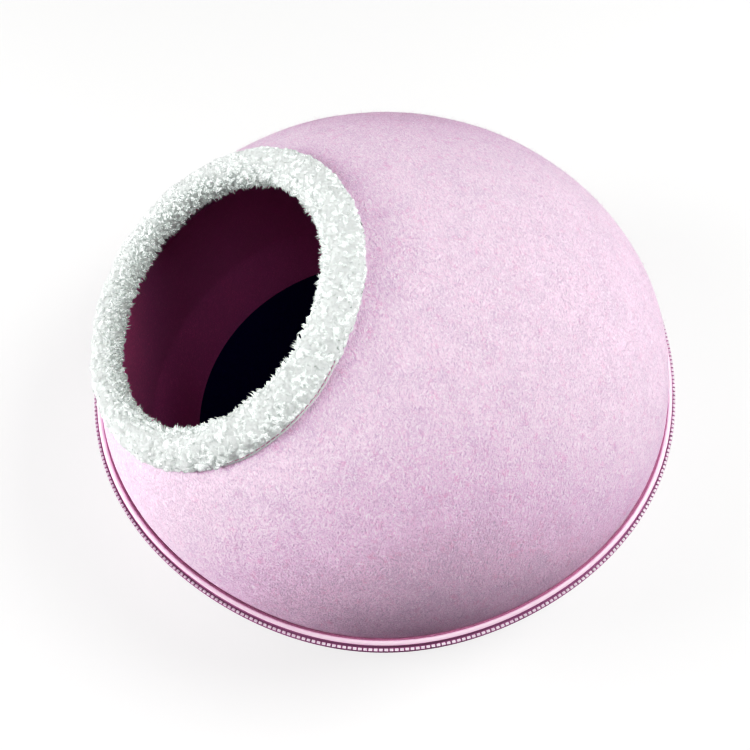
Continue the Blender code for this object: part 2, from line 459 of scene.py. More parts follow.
def edge_points(turns):
    """Points of the entrance's cut edge on the dome's outer face."""
    centre, (side, fore, axis) = entrance_frame()
    start = centre + np.outer(ENTRANCE_HALF_WIDTH * np.cos(turns), side)
    start += np.outer(ENTRANCE_HALF_LENGTH * np.sin(turns), fore)
    low = np.full(len(turns), -ENTRANCE_REACH)
    high = -low
    for _ in range(50):
        half = (low + high) / 2
        points = start + np.outer(half, axis)
        radius = np.hypot(points[:, 0], points[:, 1])
        below = (points[:, 2] < dome_height(radius)) & (radius < DOME_RADIUS)
        low, high = np.where(below, half, low), np.where(below, high, half)
    return start + np.outer(high, axis)


def trim_frame(turns):
    """Middle of the trim's section at each turn, its outward side and its upper side."""
    points, step = edge_points(turns), math.radians(1)
    along = edge_points(turns + step) - edge_points(turns - step)
    normal = dome_slope(points)[1]
    outward = unit(np.cross(along, normal))
    return points - normal * TRIM_BELOW + outward * TRIM_OUT, outward, normal


def trim_face(turns, angles):
    """Points of the trim's face and the directions in which it looks."""
    middle, outward, normal = trim_frame(turns)
    c, s = np.cos(angles), np.sin(angles)
    power = TRIM_SQUARENESS
    size = (np.abs(c) ** power + np.abs(s) ** power) ** (-1 / power)
    gap = turn_gap(turns, TRIM_JOIN)
    dip = TRIM_JOIN_DIP * np.exp(-((gap / TRIM_JOIN_WIDTH) ** 2)) * (0.5 - 0.5 * c)
    across, up = TRIM_HALF_WIDTH * c * size, TRIM_HALF_THICKNESS * s * size
    offset = (outward * across[:, None] + normal * up[:, None]) * (1 - dip)[:, None]
    face_across = np.sign(c) * np.abs(across / TRIM_HALF_WIDTH) ** (power - 1)
    face_up = np.sign(s) * np.abs(up / TRIM_HALF_THICKNESS) ** (power - 1)
    face = outward * (face_across / TRIM_HALF_WIDTH)[:, None]
    face += normal * (face_up / TRIM_HALF_THICKNESS)[:, None]
    points = middle + offset
    lumps = np.array([noise.noise(Vector(p) / TRIM_LUMP_SIZE) for p in points])
    return points + unit(offset) * (lumps * TRIM_LUMP)[:, None], unit(face)


def on_dome(points, height):
    """Moves points straight out or in to a height over the dome's outer face."""
    for _ in range(4):
        outside, out = dome_slope(points)
        points = points + out * (height - outside)[:, None]
    return points


def smooth_line(points, count):
    """A smooth line through a few points, as evenly spaced ones."""
    points = np.asarray(points, float)
    ends = np.vstack([2 * points[0] - points[1], points, 2 * points[-1] - points[-2]])
    line = []
    for a, b, c, d in zip(ends, ends[1:], ends[2:], ends[3:]):
        t = np.linspace(0, 1, 40, endpoint=False)[:, None]
        line.append(
            0.5 * (2 * b + (c - a) * t + (2 * a - 5 * b + 4 * c - d) * t**2
                   + (3 * b - 3 * c + d - a) * t**3)
        )
    return even_line(np.vstack([*line, points[-1:]]), count)


def even_line(line, count):
    along = np.concatenate([[0], np.cumsum(np.linalg.norm(np.diff(line, axis=0), axis=1))])
    wanted = np.linspace(0, along[-1], count)
    return np.stack([np.interp(wanted, along, line[:, i]) for i in range(2)], axis=1)


def shifted_line(line, distance):
    """A (radius, height) line moved to its right-hand side as it runs."""
    ahead = unit(np.gradient(line, axis=0))
    moved = line + np.stack([ahead[:, 1], -ahead[:, 0]], axis=1) * distance
    moved[line[:, 0] < 1e-6, 0] = 0
    return moved


# Meshes


def revolved(line, steps):
    """Points of a (radius, height) line at even steps round the upright axis."""
    turn = round_turns(steps)
    radius, height = line[:, :1], line[:, 1:]
    return np.stack(
        [radius * np.cos(turn), radius * np.sin(turn), height + 0 * turn], axis=-1
    ).reshape(-1, 3)


def new_piece(name, points, faces, materials, uv=None, values=None, face_materials=None):
    """A piece from arrays of points and of faces, with what its materials read from it."""
    mesh = bpy.data.meshes.new(name)
    mesh.vertices.add(len(points))
    mesh.vertices.foreach_set("co", np.asarray(points, np.float32).ravel())
    corners = np.concatenate([f.ravel() for f in faces]).astype(np.int32)
    sizes = np.concatenate([np.full(len(f), f.shape[1]) for f in faces])
    mesh.loops.add(len(corners))
    mesh.loops.foreach_set("vertex_index", corners)
    mesh.polygons.add(len(sizes))
    starts = np.concatenate([[0], np.cumsum(sizes)[:-1]]).astype(np.int32)
    mesh.polygons.foreach_set("loop_start", starts)
    mesh.update(calc_edges=True)
    if uv is not None:
        layer = mesh.uv_layers.new(name="Thread Run")
        layer.data.foreach_set("uv", np.asarray(uv, np.float32).ravel())
    for key, numbers in (values or {}).items():
        attribute = mesh.attributes.new(key, "FLOAT", "POINT")
        attribute.data.foreach_set("value", np.asarray(numbers, np.float32))
    for material in materials:
        mesh.materials.append(material)
    if face_materials is not None:
        mesh.polygons.foreach_set("material_index", np.asarray(face_materials, np.int32))
    mesh.shade_smooth()
    obj = bpy.data.objects.new(name, mesh)
    bpy.context.scene.collection.objects.link(obj)
    return obj


def grid(rows, columns, close_rows):
    """Faces of a grid whose columns go round, and the row and column of each corner."""
    count = rows if close_rows else rows - 1
    r, c = np.meshgrid(np.arange(count), np.arange(columns), indexing="ij")
    r, c = r.ravel(), c.ravel()
    row = np.stack([r, r + 1, r + 1, r], axis=1)
    column = np.stack([c, c, c + 1, c + 1], axis=1)
    return (row % rows) * columns + column % columns, row, column


def ring(name, outline, steps, materials, parts):
    """A closed outline turned about the upright axis, with a material for each part."""
    points = revolved(outline, steps)
    faces, row, column = grid(len(outline), steps, True)
    closed = np.vstack([outline, outline[:1]])
    run = np.concatenate([[0], np.cumsum(np.linalg.norm(np.diff(closed, axis=0), axis=1))])
    uv = np.stack([column / steps * 2 * math.pi * ZIP_RADIUS, run[row]], axis=-1)
    return new_piece(
        name, rim_sway(points), [faces], materials, uv.reshape(-1, 2),
        face_materials=parts[row[:, 0]],
    )


def turned_shell(name, outer, inner, steps, materials, unevenness=0.0):
    """A shell between two lines that both start on the upright axis."""
    line = np.vstack([outer, inner[::-1]])
    body = revolved(line[1:-1], steps)
    ends = np.array([[0, 0, line[0, 1]], [0, 0, line[-1, 1]]])
    points = rim_sway(np.vstack([body, ends]))
    quads, row, _ = grid(len(line) - 2, steps, False)
    k = np.arange(steps)
    first, last = len(body), len(body) + 1
    top = np.stack([np.full(steps, first), k, (k + 1) % steps], axis=1)
    base = (len(line) - 3) * steps
    low = np.stack([base + k, np.full(steps, last), base + (k + 1) % steps], axis=1)
    if unevenness:
        points = uneven(points, unevenness)
    inside = row[:, 0] >= len(outer)
    kinds = np.concatenate([inside, np.zeros(steps), np.ones(steps)]).astype(int)
    return new_piece(name, points, [quads, top, low], materials, face_materials=kinds)


def uneven(points, size):
    """Faint hollows and rises of moulded felt, which die out at the rim and the base."""
    out = unit(points - np.array([0, 0, ZIP_HEIGHT]))
    stray = np.array([
        noise.noise(Vector(p) / HOLLOW_SIZE) + RIPPLE_SHARE * noise.noise(Vector(p) / RIPPLE_SIZE)
        for p in points
    ])
    calm = np.clip(np.abs(points[:, 2] - ZIP_HEIGHT) / CALM_REACH, 0, 1)
    calm *= np.clip(points[:, 2] / CALM_REACH, 0, 1)
    return points + out * (stray * calm * size)[:, None]


def cut_with(obj, cutter):
    """Takes the cutter's space out of a piece and removes the cutter."""
    cut = obj.modifiers.new("Cut", "BOOLEAN")
    cut.solver = "EXACT"
    cut.object = cutter
    depsgraph = bpy.context.evaluated_depsgraph_get()
    mesh = bpy.data.meshes.new_from_object(obj.evaluated_get(depsgraph))
    obj.modifiers.clear()
    old, obj.data = obj.data, mesh
    mesh.name = obj.name
    bpy.data.meshes.remove(old)
    bpy.data.objects.remove(cutter)


def entrance_cutter(shrink=0.0):
    """The space that the entrance's cut takes out, drawn out along its axis."""
    centre, (side, fore, axis) = entrance_frame()
    turn = round_turns(CUT_STEPS)
    oval = np.outer((ENTRANCE_HALF_WIDTH - shrink) * np.cos(turn), side)
    oval += np.outer((ENTRANCE_HALF_LENGTH - shrink) * np.sin(turn), fore)
    low, high = centre + oval - axis * ENTRANCE_REACH, centre + oval + axis * ENTRANCE_REACH
    faces, _, _ = grid(2, len(turn), False)
    k = np.arange(len(turn))
    caps = np.stack([k[::-1], k + len(turn)])
    return new_piece("entrance_cutter", np.vstack([low, high]), [faces[:, ::-1], caps], [])


def dome_lines(grow=0.0, rows=DOME_ROWS):
    """The dome's outer and inner face as (radius, height) lines from the axis down."""
    t = np.linspace(math.pi / 2, 0, 3000)
    line = np.stack(
        [DOME_RADIUS * np.maximum(np.cos(t), 0) ** (2 / DOME_N),
         ZIP_HEIGHT + DOME_FOOT + DOME_HEIGHT * np.sin(t) ** (2 / DOME_M)], axis=1
    )
    line[0, 0] = 0
    foot = np.array([[DOME_RADIUS, ZIP_HEIGHT + SEAM_GAP / 2]])
    line = even_line(np.vstack([line, foot]), rows)
    return shifted_line(line, -grow), shifted_line(line, FELT + grow)


def pan_lines():
    """The lower shell's outer and inner face, from the axis out and up."""
    wall = smooth_line(PAN_WALL, PAN_WALL_ROWS) * MM
    wall[:, 1] = np.maximum(wall[:, 1], 0)
    base = np.stack([np.linspace(0, PAN_FLAT, PAN_FLAT_ROWS), np.zeros(PAN_FLAT_ROWS)], axis=1)
    line = np.vstack([base, wall])
    return line, shifted_line(line, -FELT)


def finish_piece(obj, slot, *nodes):
    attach(obj, "root")
    if nodes:
        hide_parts(*nodes)
    return obj


# Curls, tufts and hairs. A lock's shift makes its strands differ from its neighbours'.

LOCK_SHIFT = 1.7


def locks(bases, starts, axes, lengths, radii, bends, pitch, shape, sides):
    """Tapered, curling locks as one set of points and faces.

    Each lock leaves its base along its start and turns about its axis. Shape gives its
    thickness from root to tip, as a share of its radius.
    """
    rings = len(shape)
    axes = unit(axes - starts * (axes * starts).sum(-1, keepdims=True))
    third = np.cross(axes, starts)
    place, path, heads = bases.copy(), [], []
    for k in range(rings + 1):
        turn = (bends * k / rings)[:, None]
        ahead = starts * np.cos(turn) + third * np.sin(turn)
        path.append(place.copy())
        heads.append(ahead)
        step = ahead + axes * pitch[:, None]
        place = place + unit(step) * (lengths / rings)[:, None]
    around = round_turns(sides)
    body = []
    for k in range(rings):
        second = np.cross(heads[k], axes)
        width = (radii * shape[k])[:, None, None]
        body.append(
            path[k][:, None] + width * (axes[:, None] * np.cos(around)[:, None]
                                        + second[:, None] * np.sin(around)[:, None])
        )
    body = np.stack(body, axis=1).reshape(len(bases), -1, 3)
    points = np.concatenate([body, path[0][:, None], path[rings][:, None]], axis=1)
    size = rings * sides + 2
    quads, row, column = grid(rings, sides, False)
    k = np.arange(sides)
    root = np.stack([np.full(sides, size - 2), (k + 1) % sides, k], axis=1)
    last = (rings - 1) * sides
    tip = np.stack([np.full(sides, size - 1), last + k, last + (k + 1) % sides], axis=1)
    tris = np.concatenate([root, tip])
    shift = (np.arange(len(bases)) * size)[:, None, None]
    along = np.concatenate([np.repeat(np.arange(rings) / rings, sides), [0, 1]])
    quad_uv = np.stack([column / sides, row / rings], axis=-1)
    end_u = np.array([[0.5, 0, 0]]) + (k / sides)[:, None]
    ends = [np.stack([end_u, 0 * end_u + end], axis=-1) for end in (0, 1)]
    return {
        "points": points.reshape(-1, 3),
        "faces": [(quads[None] + shift).reshape(-1, 4), (tris[None] + shift).reshape(-1, 3)],
        "along": np.tile(along, len(bases)),
        "size": size,
        "uv": [quad_uv, np.concatenate(ends)],
    }


def lock_piece(name, made, lengths, tones_and_shade, material):
    """A piece from locks, with what their material needs to know of each point."""
    stretch = np.stack([np.ones(len(lengths)), lengths], axis=1)[:, None, None]
    shift = np.stack([LOCK_SHIFT * np.arange(len(lengths)), 0 * lengths], axis=1)[:, None, None]
    parts = [(uv * stretch + shift).reshape(-1, 2) for uv in made["uv"]]
    values = {"along": made["along"], "tone": np.repeat(tones_and_shade, made["size"])}
    return new_piece(
        name, made["points"], made["faces"], [material], np.concatenate(parts), values
    )


def spread(candidates, distance):
    """The numbers of candidates that are left when none stands close to another."""
    tree = kdtree.KDTree(len(candidates))
    for i, p in enumerate(candidates):
        tree.insert(p, i)
    tree.balance()
    taken = np.zeros(len(candidates), bool)
    kept = []
    for i, p in enumerate(candidates):
        if taken[i]:
            continue
        kept.append(i)
        for _, j, _ in tree.find_range(p, distance):
            taken[j] = True
    return np.array(kept)


def clear_of_felt(points, upper, clearance):
    """Keeps pile out of the dome's felt: above it where upper is true, else below it."""
    outside, out = dome_slope(points)
    solid = oval_share(points) > 1
    up = solid & upper & (outside < clearance)
    down = solid & ~upper & (outside > -FELT - clearance)
    moved = points.copy()
    moved[up] += out[up] * (clearance - outside[up])[:, None]
    moved[down] += out[down] * (-FELT - clearance - outside[down])[:, None]
    return moved


# Materials


def add(tree, kind, inputs=None, **settings):
    """Adds a shader node, sets it and fills or links its inputs."""
    node = tree.nodes.new("ShaderNode" + kind)
    for key, value in settings.items():
        setattr(node, key, value)
    for key, value in (inputs or {}).items():
        if isinstance(value, bpy.types.NodeSocket):
            tree.links.new(value, node.inputs[key])
        else:
            node.inputs[key].default_value = value
    return node


def maths(tree, operation, a, b=0.0):
    return add(tree, "Math", {0: a, 1: b}, operation=operation).outputs[0]


def times(tree, a, b):
    return maths(tree, "MULTIPLY", a, b)


def object_place(tree):
    return add(tree, "TexCoord").outputs["Object"]


def speckle(tree, place, scale, detail, roughness=0.5):
    """Grey noise at a place."""
    inputs = {"Vector": place, "Scale": scale, "Detail": detail, "Roughness": roughness}
    return add(tree, "TexNoise", inputs).outputs[0]


def span(tree, value, low, high, to_low=0.0, to_high=1.0):
    inputs = {"Value": value, "From Min": low, "From Max": high, "To Min": to_low,
              "To Max": to_high}
    return add(tree, "MapRange", inputs).outputs[0]


def mix(tree, share, a, b):
    inputs = {0: share, 6: a, 7: b}
    return add(tree, "Mix", inputs, data_type="RGBA", clamp_factor=True).outputs[2]


def colour(rgb):
    return (*rgb, 1.0)


def made_once(store, name):
    """Hands out what Blender's store has under a name, and makes it the first time."""
    def keep(make):
        def give():
            return getattr(bpy.data, store).get(name) or make(name)
        return give
    return keep


def new_group(name, inputs, outputs):
    group = bpy.data.node_groups.new(name, "ShaderNodeTree")
    for label, kind, default in inputs:
        socket = group.interface.new_socket(name=label, in_out="INPUT", socket_type=kind)
        socket.default_value = default
    for label, kind in outputs:
        group.interface.new_socket(name=label, in_out="OUTPUT", socket_type=kind)
    return group, group.nodes.new("NodeGroupInput"), group.nodes.new("NodeGroupOutput")


@made_once("node_groups", "Felt Fibres")
def felt_fibres(name):
    """Group: matted short fibres that lie three ways, with patches and flecks."""
    group, given, out = new_group(
        name,
        [("Base", "NodeSocketColor", (0.8, 0.6, 0.7, 1)),
         ("Fleck", "NodeSocketColor", (0.7, 0.3, 0.5, 1)),
         ("Grey", "NodeSocketColor", (0.6, 0.5, 0.6, 1)),
         ("Hair", "NodeSocketColor", (0.9, 0.8, 0.9, 1)),
         ("Contrast", "NodeSocketFloat", 1.0)],
        [("Colour", "NodeSocketColor"), ("Height", "NodeSocketFloat")],
    )
    base, fleck, grey, hair, contrast = given.outputs[:5]
    place = object_place(group)
    drift = add(group, "TexNoise", {"Vector": place, "Scale": 75.0, "Detail": 2.0})
    drift = add(
        group, "VectorMath", {0: drift.outputs["Color"], 1: (0.5, 0.5, 0.5)}, operation="SUBTRACT"
    )
    drift = add(
        group, "VectorMath", {0: drift.outputs[0], "Scale": STROKE_DRIFT}, operation="SCALE"
    )
    bent = add(group, "VectorMath", {0: place, 1: drift.outputs[0]}, operation="ADD").outputs[0]
    strokes = []
    for turn in STROKE_TURNS:
        inputs = {"Vector": bent, "Rotation": turn, "Scale": STROKE_SIZE}
        laid = add(group, "Mapping", inputs, vector_type="TEXTURE")
        strokes.append(speckle(group, laid.outputs[0], 1.0, 2.5, 0.55))
    most = maths(group, "MAXIMUM", maths(group, "MAXIMUM", strokes[0], strokes[1]), strokes[2])
    least = maths(group, "MINIMUM", maths(group, "MINIMUM", strokes[0], strokes[1]), strokes[2])
    hairs = span(group, most, 0.58, 0.74)
    pits = span(group, least, 0.44, 0.29)
    patches = speckle(group, place, 55.0, 6.0, 0.62)
    spots = speckle(group, bent, 190.0, 4.0, 0.6)
    cool = times(group, span(group, patches, 0.44, 0.68), 0.22)
    warm = times(group, span(group, spots, 0.54, 0.78), 0.42)
    tone = base
    for share, fibre in ((cool, grey), (warm, fleck), (times(group, pits, 0.6), grey),
                         (times(group, hairs, 0.9), hair)):
        tone = mix(group, times(group, share, contrast), tone, fibre)
    group.links.new(tone, out.inputs["Colour"])
    height = maths(group, "SUBTRACT", most, times(group, pits, 0.5))
    group.links.new(maths(group, "ADD", height, times(group, spots, 0.6)), out.inputs["Height"])
    return group


@made_once("node_groups", "Thread Rows")
def thread_rows(name):
    """Group: rows of thread that run along a piece, crossed by finer ones."""
    group, given, out = new_group(
        name,
        [("Light", "NodeSocketColor", (0.9, 0.6, 0.7, 1)),
         ("Dark", "NodeSocketColor", (0.6, 0.3, 0.4, 1)),
         ("Along", "NodeSocketFloat", 1600.0),
         ("Across", "NodeSocketFloat", 2400.0),
         ("Slant", "NodeSocketFloat", 0.0)],
        [("Colour", "NodeSocketColor"), ("Height", "NodeSocketFloat")],
    )
    light, dark, along, across, slant = given.outputs[:5]
    run = add(group, "UVMap", uv_map="Thread Run").outputs[0]
    split = add(group, "SeparateXYZ", {0: run})
    u, v = split.outputs[0], split.outputs[1]
    lean = maths(group, "ADD", u, times(group, v, slant))
    first = maths(group, "SINE", times(group, lean, along))
    second = maths(group, "SINE", times(group, v, across))
    weave = times(group, first, second)
    raised = span(group, maths(group, "ADD", weave, times(group, first, 0.5)), -1.5, 1.5)
    wear = speckle(group, object_place(group), 160.0, 3.0)
    share = times(group, raised, span(group, wear, 0.3, 0.7, 0.8, 1.0))
    group.links.new(mix(group, share, dark, light), out.inputs["Colour"])
    group.links.new(raised, out.inputs["Height"])
    return group


def place_group(tree, group, inputs):
    node = tree.nodes.new("ShaderNodeGroup")
    node.node_tree = group
    for key, value in inputs.items():
        node.inputs[key].default_value = value
    return node


def new_material(name, roughness, sheen=0.0, sheen_roughness=0.5, **sockets):
    """A material whose shader has plain values in these sockets."""
    material = bpy.data.materials.new(name)
    material.use_nodes = True
    tree = material.node_tree
    shader = tree.nodes["Principled BSDF"]
    values = {"Roughness": roughness, "Sheen Weight": sheen, "Sheen Roughness": sheen_roughness}
    for key, value in {**values, **sockets}.items():
        shader.inputs[key].default_value = value
    return material, tree, shader


def lay(tree, shader, tone, height, depth):
    """Links a colour and a relief of a real depth to a shader."""
    tree.links.new(tone, shader.inputs["Base Color"])
    bump = add(tree, "Bump", {"Height": height, "Distance": depth, "Strength": 1.0})
    tree.links.new(bump.outputs[0], shader.inputs["Normal"])


def felt_material(name, base, fleck, grey, hair, contrast, depth=FELT_RELIEF, sheen=0.1):
    gloss = {"Specular IOR Level": 0.2 if sheen else 0.04}
    material, tree, shader = new_material(name, 0.95, sheen, 0.6, **gloss)
    fibres = place_group(
        tree, felt_fibres(),
        {"Base": colour(base), "Fleck": colour(fleck), "Grey": colour(grey),
         "Hair": colour(hair), "Contrast": contrast},
    )
    lay(tree, shader, fibres.outputs["Colour"], fibres.outputs["Height"], depth)
    return material


@made_once("materials", "pink felt outside")
def pink_felt(name):
    felt = bpy.context.scene.pet_bed.felt
    return felt_material(name, felt.outside, felt.fleck, felt.grey, felt.hair, 1.75)


# The inner face is given a much darker colour than the outer face.
@made_once("materials", "wine felt inside")
def wine_felt(name):
    base = np.array(bpy.context.scene.pet_bed.felt.inside)
    pale = np.minimum(base * 1.5 + 0.03, 1)
    return felt_material(name, base, base * 1.25, base * 0.8, pale, 0.7)


@made_once("materials", "curly white fleece")
def fleece_material(name):
    """Pile that lets light through: paler at its tips, with painted shade at its roots, and given
    a painted glow of its own colour that stands in for the light inside it.
    """
    fleece = bpy.context.scene.pet_bed.fleece
    soft = {"Specular IOR Level": 0.1, "Subsurface Weight": 1.0, "Subsurface Scale": 0.0045,
            "Subsurface Radius": (1.0, 1.0, 1.0), "Emission Strength": FLEECE_GLOW}
    material, tree, shader = new_material(name, 0.95, 0.2, 0.6, **soft)
    shader.subsurface_method = "BURLEY"
    along = add(tree, "Attribute", attribute_name="along").outputs["Fac"]
    tone = add(tree, "Attribute", attribute_name="tone").outputs["Fac"]
    run = add(tree, "UVMap", uv_map="Thread Run").outputs[0]
    laid = add(tree, "Mapping", {"Vector": run, "Scale": (9.0, 700.0, 1.0)})
    strands = speckle(tree, laid.outputs[0], 1.0, 2.0, 0.6)
    place = object_place(tree)
    fine = speckle(tree, place, 900.0, 3.0)
    stray = span(tree, strands, 0.3, 0.7, -0.1, 0.1)
    # The pile runs from the darker root colour to the tip colour along each lock: painted shade at
    # the roots.
    share = maths(tree, "ADD", span(tree, along, 0.0, 0.6), stray)
    pile = mix(tree, share, colour(fleece.roots), colour(fleece.tips))
    # The tone attribute holds random tone and, on the trim's pile, painted shade from inner_shade.
    level = add(tree, "CombineXYZ", {0: tone, 1: tone, 2: tone}).outputs[0]
    pile = add(tree, "Mix", {0: 1.0, 6: pile, 7: level}, data_type="RGBA",
               blend_type="MULTIPLY").outputs[2]
    cells = add(tree, "TexVoronoi", {"Vector": place, "Scale": 430.0}, feature="SMOOTH_F1")
    grain = maths(tree, "ADD", times(tree, strands, 0.25), times(tree, fine, 0.2))
    lay(tree, shader, pile, maths(tree, "SUBTRACT", grain, cells.outputs[0]), FLEECE_RELIEF)
    # Painted glow: the pile gives off its own colour as light, shade included.
    tree.links.new(pile, shader.inputs["Emission Color"])
    return material


def thread_material(name, light, deep, roughness, along, across, slant, depth):
    """Woven or twisted thread. Deep is the share of the light colour between the threads."""
    light = np.array(light)
    material, tree, shader = new_material(name, roughness, 0.1, 0.4)
    rows = place_group(
        tree, thread_rows(),
        {"Light": colour(light), "Dark": colour(light * deep), "Along": along,
         "Across": across, "Slant": slant},
    )
    lay(tree, shader, rows.outputs["Colour"], rows.outputs["Height"], depth)
    return material


@made_once("materials", "satin zip tape")
def tape_material(name):
    tape = bpy.context.scene.pet_bed.zip.tape
    return thread_material(name, tape, (0.95, 0.86, 0.92), 0.34, 9000.0, 12000.0, 0.6, 0.00005)


@made_once("materials", "woven tape flap")
def flap_and_shade_material(name):
    flap = bpy.context.scene.pet_bed.zip.flap
    return thread_material(name, flap, 0.7, 0.6, 7000.0, 9000.0, 0.3, 0.00008)


@made_once("materials", "sewing thread")
def thread_and_seam_shade(name):
    thread = bpy.context.scene.pet_bed.zip.thread
    return thread_material(name, thread, 0.62, 0.5, 7000.0, 2.0, 1.0, 0.0001)


@made_once("materials", "moulded zip teeth")
def tooth_material(name):
    base = bpy.context.scene.pet_bed.zip.tooth
    coat = {"Coat Weight": 0.15, "Coat Roughness": 0.2}
    material, tree, shader = new_material(name, 0.34, **coat)
    place = object_place(tree)
    cloudy = speckle(tree, place, 420.0, 3.0)
    grain = speckle(tree, place, 3000.0, 2.0)
    dull = colour(np.array(base) * (0.93, 0.86, 0.9))
    tone = mix(tree, span(tree, cloudy, 0.35, 0.65), dull, colour(base))
    tree.links.new(span(tree, grain, 0.3, 0.7, 0.28, 0.44), shader.inputs["Roughness"])
    lay(tree, shader, tone, grain, 0.00003)
    return material


@made_once("materials", "navy floor felt")
def disc_material(name):
    base = np.array(bpy.context.scene.pet_bed.disc.colour)
    return felt_material(name, base, base * 1.5, base * 0.7, base * 1.9, 0.8, 0.0004, 0.0)


# Pieces


class PETBED_OT_felt_shells(bpy.types.Operator):
    """Make the domed upper shell and the flat-based lower shell"""

    bl_idname = "pet_bed.felt_shells"
    bl_label = "Felt Shells"

    def execute(self, context):
        felt = context.scene.pet_bed.felt
        materials = [pink_felt(), wine_felt()]
        outer, inner = dome_lines()
        dome = turned_shell("felt_dome", outer, inner, SHELL_STEPS, materials, felt.unevenness)
        cut_with(dome, entrance_cutter())
        finish_piece(dome, "pink_felt", "upper_shell")

        outer, inner = pan_lines()
        pan = turned_shell(
            "felt_pan", inner, outer, SHELL_STEPS, materials[::-1],
            felt.unevenness * PAN_EVENNESS,
        )
        finish_piece(pan, "pink_felt", "lower_shell")
        return {"FINISHED"}


class PETBED_OT_floor_disc(bpy.types.Operator):
    """Make the thin dark disc that lies on the lower shell's floor"""

    bl_idname = "pet_bed.floor_disc"
    bl_label = "Floor Disc"

    def execute(self, context):
        bevel = DISC_BEVEL
        low = DISC_TOP - DISC_THICKNESS
        rows = np.linspace(0, DISC_RADIUS - 3 * bevel, 30)
        upper = [(r, DISC_TOP) for r in rows]
        upper += [(DISC_RADIUS - bevel, DISC_TOP - 0.1 * bevel), (DISC_RADIUS, DISC_TOP - bevel)]
        lower = [(r, low) for r in rows] + [(DISC_RADIUS - bevel, low), (DISC_RADIUS, low + bevel)]
        material = disc_material()
        disc = turned_shell(
            "navy_disc", np.array(upper), np.array(lower), DISC_STEPS, [material, material]
        )
        finish_piece(disc, "navy_felt", "floor_disc")
        return {"FINISHED"}


def nub(place):
    """Height of the pile's rounded nubs at a place, from 0 in a crease to about 1."""
    nearest = noise.voronoi(place / NUB_SIZE)[0]
    crease = min((nearest[1] - nearest[0]) / 0.5, 1)
    return 0.75 * (1 - (1 - crease) ** 2) + 0.5 * noise.noise(place / (0.5 * NUB_SIZE))


def fleece_body(material):
    """The trim's strip, folded over the felt's edge: lumpy, with a slit for the felt."""
    sections, count = TRIM_SECTIONS, TRIM_ROUND
    turns = np.repeat(round_turns(sections), count)
    angles = np.tile(round_turns(count), sections)
    points, face = trim_face(turns, angles)
    nubs = np.array([nub(Vector(p)) for p in points])
    points = points + face * ((nubs * NUB_HEIGHT - NUB_BASE)[:, None] - pile_sink(turns, angles))
    faces, row, column = grid(sections, count, True)
    uv = np.stack([column / count * 40, row / sections * 0.6], axis=-1)
    # The body's colour runs to the darker root colour in the nubs' creases: painted shade.
    values = {"along": 0.3 + 0.4 * np.clip(nubs, 0, 1), "tone": inner_shade(turns, angles)}
    body = new_piece(
        "fleece_trim", points, [faces[:, ::-1]], [material], uv[:, ::-1].reshape(-1, 2), values
    )
    outer, inner = dome_lines(SLIT_GAP, SLIT_ROWS)
    slit = turned_shell("felt_slit", outer, inner, SLIT_STEPS, [])
    cut_with(slit, entrance_cutter(SLIT_GAP))
    cut_with(body, slit)
    return body


def pile_sink(turns, angles):
    """How far the pile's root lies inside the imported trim, most at the opening's left."""
    left = left_share(turns)
    inner = np.maximum(-np.cos(angles), 0) ** 0.7
    outer = np.maximum(np.cos(angles), 0)
    extra = inner * (SINK_INNER + SINK_LEFT_INNER * left) + outer * SINK_LEFT_OUTER * left
    return (PILE_SINK + extra * MM)[:, None]


def inner_shade(turns, angles):
    """Painted shade on the pile: its colour darkens towards the inside and at the opening's left,
    where shade falls.
    """
    deep = np.clip((angles - INNER_FROM) / INNER_WIDTH, 0, 1)
    left = left_share(turns) * np.clip((angles - LEFT_FROM) / LEFT_DEPTH, 0, 1)
    return 1 - INNER_SHADE * deep - LEFT_SHADE * left * (1 - deep)


def hem_piece(material):
    """The strip's flat hem, which shows at the entrance's lower right, and its sewing line."""
    turns = round_turns(HEM_SECTIONS)
    _, outward, _ = trim_frame(turns)
    edge = edge_points(turns)
    gap = turn_gap(turns, (HEM_FROM + HEM_TO) / 2)
    shown = np.clip(1.35 - (gap / ((HEM_TO - HEM_FROM) / 2)) ** 2, 0, 1)
    reach = TRIM_OUT + TRIM_HALF_WIDTH * 0.93 + shown * HEM_REACH
    rows = []
    for share, height in HEM_ROWS:
        out = (TRIM_OUT + HEM_ROOT) * (1 - share) + reach * share
        rows.append(on_dome(edge + outward * out[:, None], height * MM))
    points = np.concatenate(rows)
    faces, row, column = grid(len(rows), HEM_SECTIONS, True)
    uv = np.stack([column / HEM_SECTIONS * 0.6, row * 0.002], axis=-1).reshape(-1, 2)
    line = on_dome(edge + outward * (reach - HEM_SEAM)[:, None], HEM_TOP)
    values = {"along": np.full(len(points), 0.8), "tone": np.full(len(points), 0.97)}
    return new_piece("trim_hem", points, [faces], [material], uv, values), line


def pile_places(rng, spacing, low, high):
    """Places on the trim's face between two angles of its section, a spacing apart."""
    tries = int(PILE_TRIES * (high - low) / (2 * math.pi))
    turns = rng.uniform(0, 2 * math.pi, tries)
    angles = rng.uniform(low, high, tries)
    points, face = trim_face(turns, angles)
    kept = spread(points, spacing)
    kept = kept[np.abs(turn_gap(turns[kept], TRIM_JOIN)) > JOIN_GAP]
    return turns[kept], angles[kept], points[kept], face[kept]


def tangents(rng, face):
    """Random directions that lie in the face."""
    loose = unit(rng.normal(size=face.shape))
    return unit(loose - face * (loose * face).sum(-1, keepdims=True))


